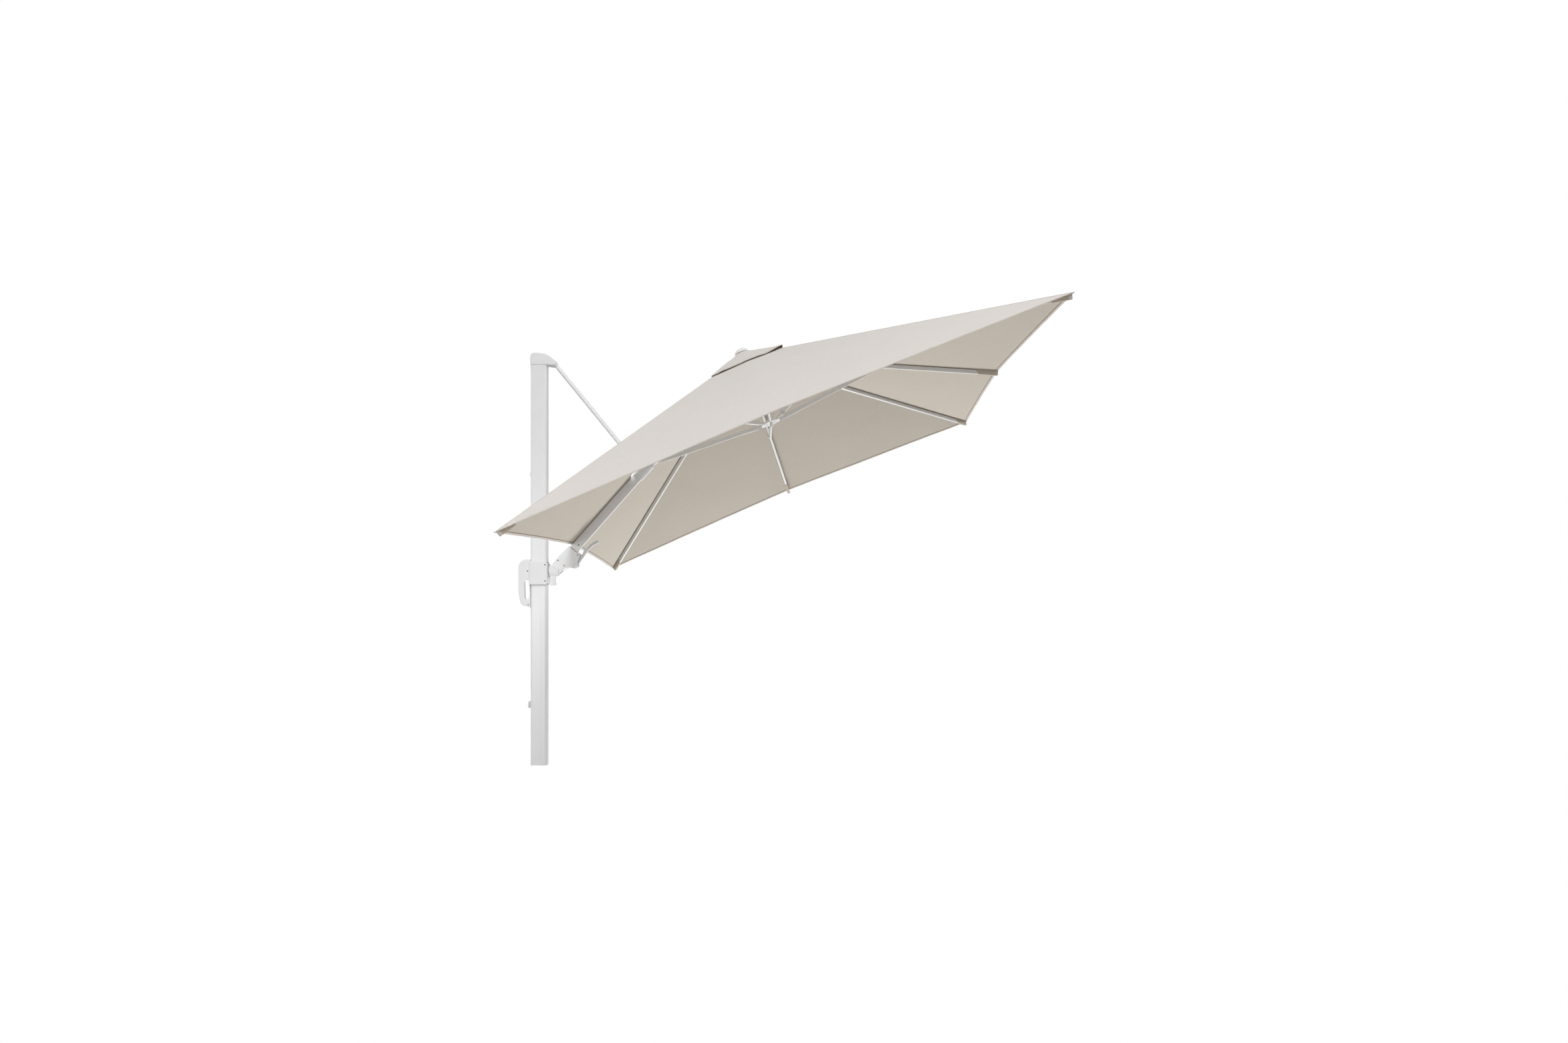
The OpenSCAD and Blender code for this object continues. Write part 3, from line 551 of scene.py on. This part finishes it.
def shade_strip_over_rib(name, i, x_from, x_to, place, profile):
    """Narrow dark strip between a rib and the cloth, down both upper edges of the rib: painted shade for the
    shadow between them.
    """
    points, faces = [], []
    stations = max(2, int((x_to - x_from) / 60))
    count = len(profile)
    for k in range(stations + 1):
        x = x_from + (x_to - x_from) * k / stations
        points += [Vector((x, y, z)) for y, z in profile]
    for k in range(stations):
        for n in range(count):
            a, b = k * count + n, k * count + (n + 1) % count
            faces.append((a, b, b + count, a + count))
    half = count // 2
    for base, flip in ((0, False), (stations * count, True)):
        for n in range(half - 1):
            quad = (base + n, base + count - 1 - n, base + count - 2 - n, base + n + 1)
            faces.append(quad[::-1] if flip else quad)
    uvs = [(p.x * MM, n % count * 0.004) for n, p in enumerate(points)]
    return piece_from(name, points, faces, LINES[i][0], [SHADE_STRIP_CLOTH], place, None, uvs, smooth=40)


def roof(half, side, low, top, bottom, ridge, bevel):
    """Cross-section of the dark shade strip over a rib: inner line, then outer line back."""
    inside = half - 1.1
    return [(-inside, low), (-inside, bottom - bevel), (0, bottom), (inside, bottom - bevel), (inside, low),
            (half, low), (half, side), (0, top + ridge), (-half, side), (-half, low)]


def seam(name, i, spec, rows):
    """Felled seam over a corner rib, with two rows of stitches."""
    offsets = [-8.0, -7.6, -3.0, 3.0, 7.6, 8.0]
    rises = [0.1, 0.7, 0.9, 0.9, 0.7, 0.1]
    along = [0.004 + 0.99 * r / (rows - 1) for r in range(rows)]
    points = []

    def at(s, q, z):
        gap = (line_point(i + 1, s, spec) - line_point(i, s, spec)).length
        p = cloth_point(i, s, q / gap, spec)
        p.z += CLOTH + z
        return p

    for heights in ([0.05] * len(offsets), rises):
        for s in along:
            points += [at(s, q, z) for q, z in zip(offsets, heights)]
    faces, _ = slab(rows, len(offsets))
    picks = [0] * len(faces)
    uvs = [(0.011 * (k % len(offsets)), p.length * MM) for k, p in enumerate(points)]
    for q in (-5.0, 5.0):
        curve = [at(s, q, 0.8) for s in along]
        thread_row(points, faces, picks, walk(curve, STITCH_PITCH, 2.0), Vector((0, 0, 1)), 1)
    uvs += [(0.0, 0.0)] * (len(points) - len(uvs))
    made = piece_from(name, points, faces, LINES[i][0], [TRIM, THREAD], picks=picks, uvs=uvs, smooth=40)
    squash_with(made)
    return made


def rib_place(i):
    """Frame of a rib: X along it from its hinge, Z up."""
    _, azimuth, kind = LINES[i]
    turn = Matrix.Rotation(math.radians(azimuth), 4, "Z")
    out = Matrix.Translation((HUB_R * MM, 0, 0))
    return CANOPY @ turn @ out @ Matrix.Rotation(DROOP[kind], 4, "Y")


def pocket(name, i):
    """Sleeve of canopy cloth sewn under the cloth round the end of a rib."""
    body, _, kind = LINES[i]
    top = 14.2 if kind == "mid" else 13.2
    end = RIB_LEN[kind] + PLUG + 1.2
    long, slant = (143.0, 24.0) if kind == "mid" else (128.0, 34.0)
    outer = [(-10.0, top), (-10.1, -11.8), (-8.6, -14.8), (-5.0, -15.7), (5.0, -15.7), (8.6, -14.8),
             (10.1, -11.8), (10.0, top)]
    inner = [(y * 0.9, z if z == top else z + (1.0 if z < -12 else 0.4)) for y, z in outer]
    loop = outer + inner[::-1]
    stations = 15
    points, faces, picks, uvs = [], [], [], []
    for k in range(stations):
        share = k / (stations - 1)
        for n, (y, z) in enumerate(loop):
            x0 = end - long + slant * (top - z) / (top + 15.7)
            x = x0 + (end - x0) * share
            puff = 0.0
            if n < len(outer) and 0 < n < len(outer) - 1:
                lumps = max(0.0, noise.noise(Vector((x / 23, y / 9, z / 9 + i))))
                puff = 0.9 * lumps * math.sin(math.pi * share)
            direction = Vector((0, y, z + 1))
            direction.normalize()
            points.append(Vector((x, y, z)) + direction * puff)
            uvs.append(((x + 3000 * i) * MM, n * 0.008))
    count = len(loop)
    for k in range(stations - 1):
        for n in range(count):
            a, b = k * count + n, k * count + (n + 1) % count
            faces.append((a, b, b + count, a + count))
            picks.append(2 if k == stations - 2 else 0)
    for base, flip in ((0, False), ((stations - 1) * count, True)):
        for n in range(len(outer) - 1):
            quad = (base + n, base + count - 1 - n, base + count - 2 - n, base + n + 1)
            faces.append(quad[::-1] if flip else quad)
            picks.append(0)
    # The closed end, slightly domed.
    rings = ((0.0, 1.0), (1.2, 1.0), (2.4, 0.86))
    base = len(points)
    for shift, scale in rings:
        for y, z in outer:
            points.append(Vector((end + 0.05 + shift, y * scale, z * scale)))
            uvs.append((y * MM, z * MM))
    size = len(outer)
    for ring in range(2):
        for n in range(size):
            a, b = base + ring * size + n, base + ring * size + (n + 1) % size
            faces.append((a, b, b + size, a + size))
            picks.append(2)
    faces.append(tuple(range(base + size - 1, base - 1, -1)))
    faces.append(tuple(range(base + 2 * size, base + 3 * size)))
    picks += [2, 2]
    # Stitches along the mouth on both sides.
    for side in (-1, 1):
        run = [Vector((end - long + 5 + slant * (top - z) / (top + 15.7), side * 10.25, z))
               for z in (top - 1.5, 8.0, 2.0, -4.0, -10.0)]
        thread_row(points, faces, picks, walk(run, 5.2, 1.0), Vector((0, side, 0)), 1)
    uvs += [(0.0, 0.0)] * (len(points) - len(uvs))
    return piece_from(name, points, faces, body, [POCKET, THREAD, TRIM], rib_place(i), picks, uvs, smooth=55)


# ---------- canopy ----------

# The opening for the collar, in the beam's frame: both ends, half width and corner radius.
SLIT_LO, SLIT_HI, SLIT_HALF, SLIT_CORNER = 762.0, 939.0, 58.0, 22.0


def slit_outline(grow, steps=8):
    """Rounded rectangle in the beam's frame, grown by some millimetres."""
    out = []
    r = SLIT_CORNER + grow
    near_x, far_x, half_y = SLIT_LO + SLIT_CORNER, SLIT_HI - SLIT_CORNER, SLIT_HALF - SLIT_CORNER
    centres = [(far_x, half_y), (near_x, half_y), (near_x, -half_y), (far_x, -half_y)]
    for (cx, cy), first in zip(centres, (0, 90, 180, 270)):
        for k in range(steps + 1):
            a = math.radians(first + 90 * k / steps)
            out.append((cx + r * math.cos(a), cy + r * math.sin(a)))
    return out


def cut_slit(made):
    """Cuts the opening for the collar through a piece of cloth."""
    outline = slit_outline(0)
    points = [Vector((x, y, z)) for z in (-60, 130) for x, y in outline]
    size = len(outline)
    faces = [(k, (k + 1) % size, size + (k + 1) % size, size + k) for k in range(size)]
    faces += [tuple(range(size - 1, -1, -1)), tuple(range(size, 2 * size))]
    mesh = bpy.data.meshes.new("slit_cutter")
    mesh.from_pydata([ARM @ (p * MM) for p in points], [], faces)
    mesh.materials.append(OUTER)
    cutter = bpy.data.objects.new("slit_cutter", mesh)
    bpy.context.scene.collection.objects.link(cutter)
    mod = made.modifiers.new("slit", "BOOLEAN")
    mod.object = cutter
    mod.solver = "EXACT"
    mod.operation = "DIFFERENCE"
    bake(made)
    bpy.data.objects.remove(cutter)


def bake(made):
    """Applies the modifiers of an object."""
    bpy.context.view_layer.update()
    shape = bpy.data.meshes.new_from_object(made.evaluated_get(bpy.context.evaluated_depsgraph_get()))
    old = made.data
    made.modifiers.clear()
    made.data = shape
    bpy.data.meshes.remove(old)
    shape.name = made.name


def slit_band(name, tree, body):
    """Doubled cloth round the slit, laid on the canopy's upper face."""
    rings = [(1.0, -0.2), (1.0, 1.3), (4.0, 1.6), (15.0, 1.5), (18.0, 1.1), (18.0, -0.2)]
    points, faces, picks, uvs = [], [], [], []
    down = -(ARM.to_3x3() @ Vector((0, 0, 1)))

    def on_cloth(x, y, z):
        start = ARM @ (Vector((x, y, 260)) * MM)
        hit = tree.ray_cast(start, down)[0]
        return Vector(hit - down * (z * MM))

    for grow, z in rings:
        for k, (x, y) in enumerate(slit_outline(grow)):
            points.append(on_cloth(x, y, z))
            uvs.append((k * 0.01, grow * MM))
    size = len(slit_outline(0))
    for r in range(len(rings)):
        nxt = (r + 1) % len(rings)
        for k in range(size):
            a, b = r * size + k, r * size + (k + 1) % size
            faces.append((nxt * size + k, nxt * size + (k + 1) % size, b, a))
            picks.append(0)
    for grow in (5.0, 14.0):
        curve = [on_cloth(x, y, 1.5) for x, y in slit_outline(grow)]
        curve = [p * 1000 for p in curve + curve[:1]]
        extra, faces_extra = [], []
        thread_row(extra, faces_extra, picks, walk(curve, STITCH_PITCH, 0.0), -down, 1)
        faces += [tuple(f + len(points) for f in face) for face in faces_extra]
        points += [p * MM for p in extra]
    uvs += [(0.0, 0.0)] * (len(points) - len(uvs))
    to_mm = Matrix.Scale(1000, 4)
    made = piece_from(name, [to_mm @ p for p in points], faces, body, [TRIM, THREAD],
                      Matrix.Identity(4), picks, uvs, smooth=40)
    squash_with(made)
    return made


def flap_start(i, t):
    """Share of the way out at which the flap's cloth reaches the hole round the axis."""
    low, high = 0.0, 1.0
    for _ in range(30):
        mid = (low + high) / 2
        own = line_point(i, mid, FLAP_SPEC)
        other = line_point(i + (1 if t > 0 else -1), mid, FLAP_SPEC)
        p = own.lerp(other, abs(t))
        if math.hypot(p.x, p.y) < FLAP_HOLE:
            low = mid
        else:
            high = mid
    return high


# Cross-section of the dark strip over each kind of rib, which stands in for the shadow between rib and cloth:
# painted shade.
ROOF = {
    "mid": roof(9.4, 14.2, 11.0, 14.3, 13.58, 0.0, 0.0),
    "corner": roof(9.4, 13.3, 11.0, 13.6, 13.6, 2.8, 1.0),
    "beam": roof(16.3, 29.0, 25.2, 29.1, 28.1, 0.0, 0.0),
}
SHORT = ["front", "front_far", "far", "back_far", "beam", "back_near", "near", "front_near"]
canopy_parts, flap_parts = [], []
for i, (body, azimuth, kind) in enumerate(LINES):
    label = SHORT[i]
    cloth, flat, area = kite("canopy_" + label, i, CANOPY_SPEC, 57, 33, INSIDE_PAINTED_SHADE)
    extras = [
        edging("hem_" + label, i, CANOPY_SPEC, HEM, 65, SLOPE_LEN, shade_line=HEM_SHADE_LINE),
        edging("vent_edge_" + label, i, CANOPY_SPEC, VENT_HEM, 17, SLOPE_LEN, False, (-11.0,)),
    ]
    if kind == "corner":
        extras.append(seam("seam_" + label, i, CANOPY_SPEC, 45))
    if kind != "beam":
        extras.append(pocket("pocket_" + label, i))
        # Dark strip over the rib for the shadow between rib and cloth: painted shade.
        shade_strip_over_rib("shade_strip_" + label, i, 60, RIB_LEN[kind] - 125, rib_place(i), ROOF[kind])
    else:
        shade_strip_over_rib("shade_strip_beam_low", i, 205, 745, ARM, ROOF[kind])
        shade_strip_over_rib("shade_strip_beam_high", i, 960, 1570, ARM, ROOF[kind])
        uncut = BVHTree.FromPolygons([v.co for v in cloth.data.vertices],
                                     [list(p.vertices) for p in cloth.data.polygons])
        extras.append(slit_band("slit_band", uncut, body))
        cut_slit(cloth)
        # The rounded corners take 2 % off the rectangle.
        area -= (SLIT_HI - SLIT_LO) * 2 * SLIT_HALF * MM * MM * 0.98
    squash_with(cloth)
    canopy_parts.append(cloth)

    flap, flat, area = kite("flap_" + label, i, FLAP_SPEC, 21, 25, FLAP_UNDERSIDE_PAINTED_SHADE, flap_start)
    squash_with(flap)
    # The first four faces of the binding, its underside, get the painted shade of the vent gap.
    edge = edging("flap_edge_" + label, i, FLAP_SPEC, BINDING, 33, 232.0, stitched=(-12.0,), dark=range(4))
    flap_parts.append(flap)

for made in canopy_parts:
    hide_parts("canopy")
for made in flap_parts:
    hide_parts("vent_flap")

# ---------- moulded pieces ----------


def moulded(name, cad_names, body, voxel, rounds, mat=PLASTIC):
    """The shape of one or more CAD nodes with the soft edges of a moulding."""
    shell = bmesh.new()
    for cad_name in cad_names:
        shell.from_mesh(NODES[cad_name].data)
    bmesh.ops.remove_doubles(shell, verts=shell.verts, dist=1e-5)
    mesh = bpy.data.meshes.new(name)
    shell.to_mesh(mesh)
    shell.free()
    mesh.materials.clear()
    mesh.materials.append(mat)
    made = bpy.data.objects.new(name, mesh)
    bpy.context.scene.collection.objects.link(made)
    remesh = made.modifiers.new("remesh", "REMESH")
    remesh.mode = "VOXEL"
    remesh.voxel_size = voxel
    remesh.adaptivity = 0.0
    remesh.use_smooth_shade = True
    soft = made.modifiers.new("soft", "SMOOTH")
    soft.factor = 0.5
    soft.iterations = rounds
    bake(made)
    for polygon in made.data.polygons:
        polygon.use_smooth = True
        polygon.material_index = 0
    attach(made, body)
    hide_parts(*cad_names)
    return made


# New piece, CAD nodes it stands for, body, voxel size in metres, rounds of smoothing, material.
MOULDED = [
    ("mast_hood", ["mast_cap"], "mast", 0.0018, 14, PLASTIC),
    ("strap_wheel", ["strap_knob"], "mast", 0.0012, 6, PLASTIC),
    ("mast_stop", ["upper_stop"], "mast", 0.0010, 4, PLASTIC),
    ("strut_knuckle", ["strut_eye"], "strut", 0.0010, 4, PLASTIC),
    ("strut_yoke", ["strut_fork"], "strut", 0.0012, 4, PLASTIC),
    ("slider_housing", ["slider_shell_near", "slider_shell_far"], "slider", 0.0018, 22, PLASTIC),
    ("clamp_lever", ["lock_lever"], "lock_lever", 0.0010, 8, PLASTIC),
    ("neck_cover", ["neck_shell_near", "neck_shell_far"], "arm", 0.0015, 18, PLASTIC),
    ("tilt_handle", ["tilt_lever"], "tilt_lever", 0.0010, 10, PADDLE),
    ("beam_collar", ["collar"], "arm", 0.0010, 3, PLASTIC),
    ("stay_bracket", ["strut_lug"], "beam", 0.0010, 3, PLASTIC),
    ("crown_hub", ["top_hub"], "hub", 0.0012, 3, PLASTIC),
    ("runner_hub", ["lower_hub"], "runner", 0.0012, 3, PLASTIC),
]
for row in MOULDED:
    moulded(*row)


def lathe(name, profile, place, body, mat, steps=48):
    """Closed ring of a profile turned round the frame's X axis; profile is (x, radius) in millimetres."""
    points, faces = [], []
    count = len(profile)
    for k in range(steps):
        a = 2 * math.pi * k / steps
        points += [Vector((x, r * math.cos(a), r * math.sin(a))) for x, r in profile]
    for k in range(steps):
        for n in range(count):
            a, b = k * count + n, k * count + (n + 1) % count
            c, d = (k + 1) % steps * count + (n + 1) % count, (k + 1) % steps * count + n
            faces.append((a, d, c, b))
    return piece_from(name, points, faces, body, [mat], place, smooth=40)


# Cream bead on one stay, which carries the closing strap.


def on_corner_stay(radius, z):
    """Point in the plane of the near front corner, at a radius and height in the canopy's frame."""
    a = math.radians(-45)
    return CANOPY @ (Vector((radius * math.cos(a), radius * math.sin(a), z)) * MM)


low_end = on_corner_stay(58, -424)
high_end = on_corner_stay(794.1, -266.2)
bead_x = (high_end - low_end).normalized()
bead_y = AXIS.cross(bead_x).normalized()
bead_z = bead_x.cross(bead_y)
bead_at = low_end + bead_x * 0.075
bead_place = Matrix([[bead_x[k], bead_y[k], bead_z[k], bead_at[k]] for k in range(3)] + [[0, 0, 0, 1]])
bead_half = [(0, 18), (4, 17.6), (8, 16.4), (9, 14.6), (8, 13.7)]
lathe("strap_bead", [(-x, r) for x, r in bead_half[:0:-1]] + bead_half, bead_place, "stay_front_near", CREAM)

# ---------- floor, light and camera ----------

floor_mesh = bpy.data.meshes.new("floor")
corners = [(-60, -60), (60, -60), (60, 60), (-60, 60)]
floor_mesh.from_pydata([(x, y, -0.0005) for x, y in corners], [], [(0, 1, 2, 3)])
FLOOR = bpy.data.materials.new("pale_floor")
tree, bsdf = nodes_of(FLOOR)
bsdf.inputs["Base Color"].default_value = (0.50, 0.50, 0.50, 1)
bsdf.inputs["Roughness"].default_value = 0.9
bsdf.inputs["Specular IOR Level"].default_value = 0.1
backdrop = node(tree, "ShaderNodeEmission", Color=(1, 1, 1, 1), Strength=1.0)
path = tree.nodes.new("ShaderNodeLightPath")
chooser = tree.nodes.new("ShaderNodeMixShader")
link(tree, path.outputs["Is Camera Ray"], chooser.inputs[0])
link(tree, bsdf.outputs[0], chooser.inputs[1])
link(tree, backdrop.outputs[0], chooser.inputs[2])
link(tree, chooser.outputs[0], tree.nodes["Material Output"].inputs["Surface"])
floor_mesh.materials.append(FLOOR)
floor = bpy.data.objects.new("floor", floor_mesh)
bpy.context.scene.collection.objects.link(floor)
floor.visible_shadow = False

world = bpy.data.worlds.new("studio")
bpy.context.scene.world = world
world.use_nodes = True
tree = world.node_tree
tree.nodes.clear()
output = tree.nodes.new("ShaderNodeOutputWorld")
path = tree.nodes.new("ShaderNodeLightPath")
seen = node(tree, "ShaderNodeBackground", Color=(1, 1, 1, 1), Strength=1.0)
lit = node(tree, "ShaderNodeBackground", Strength=0.62)
place = tree.nodes.new("ShaderNodeTexCoord")
parts = tree.nodes.new("ShaderNodeSeparateXYZ")
link(tree, place.outputs["Generated"], parts.inputs[0])
ramp = tree.nodes.new("ShaderNodeValToRGB")
ramp.color_ramp.elements[0].position = 0.15
ramp.color_ramp.elements[0].color = (0.25, 0.25, 0.26, 1)
ramp.color_ramp.elements[1].position = 0.75
ramp.color_ramp.elements[1].color = (1, 1, 1, 1)
half_y = math_node(tree, "MULTIPLY_ADD", parts.outputs["Y"], 0.5)
half_y.node.inputs[2].default_value = 0.5
link(tree, half_y, ramp.inputs["Fac"])
link(tree, ramp.outputs["Color"], lit.inputs["Color"])
chooser = tree.nodes.new("ShaderNodeMixShader")
link(tree, path.outputs["Is Camera Ray"], chooser.inputs[0])
link(tree, lit.outputs[0], chooser.inputs[1])
link(tree, seen.outputs[0], chooser.inputs[2])
link(tree, chooser.outputs[0], output.inputs["Surface"])


def area_light(name, at, target, size, watts):
    data = bpy.data.lights.new(name, "AREA")
    data.shape = "SQUARE"
    data.size = size
    data.energy = watts
    lamp = bpy.data.objects.new(name, data)
    bpy.context.scene.collection.objects.link(lamp)
    lamp.location = at
    lamp.rotation_euler = (Vector(target) - Vector(at)).to_track_quat("-Z", "Y").to_euler()
    return lamp


area_light("key", (1.3, -6.5, 7.5), (1.1, 0, 1.9), 4.0, 400)
area_light("fill_left", (-5.5, 0.0, 4.0), (0.9, 0, 1.8), 4.0, 60)
area_light("fill_right", (7.0, 0.0, 4.0), (0.9, 0, 1.8), 4.0, 85)
low_fill = area_light("mast_fill", (-1.2, -5.5, 0.9), (0, 0, 0.6), 1.5, 6.2)
low_fill.data.spread = math.radians(50)
# Bounce from the bright ground behind the parasol, which the floor lets through.
area_light("ground_bounce", (2.2, 5.5, -4.5), (1.3, 0, 2.1), 3.5, 570)

camera_data = bpy.data.cameras.new("camera")
camera_data.sensor_width = 36.0
camera_data.lens = 22.48
camera_data.shift_x = -0.00874
camera_data.shift_y = 0.0657
camera_data.clip_end = 200
camera = bpy.data.objects.new("camera", camera_data)
bpy.context.scene.collection.objects.link(camera)
camera.location = (1.6265, -6.173, 0.8837)
camera.rotation_euler = (math.radians(90), 0, 0)
bpy.context.scene.camera = camera
bpy.context.scene.view_settings.view_transform = "Standard"
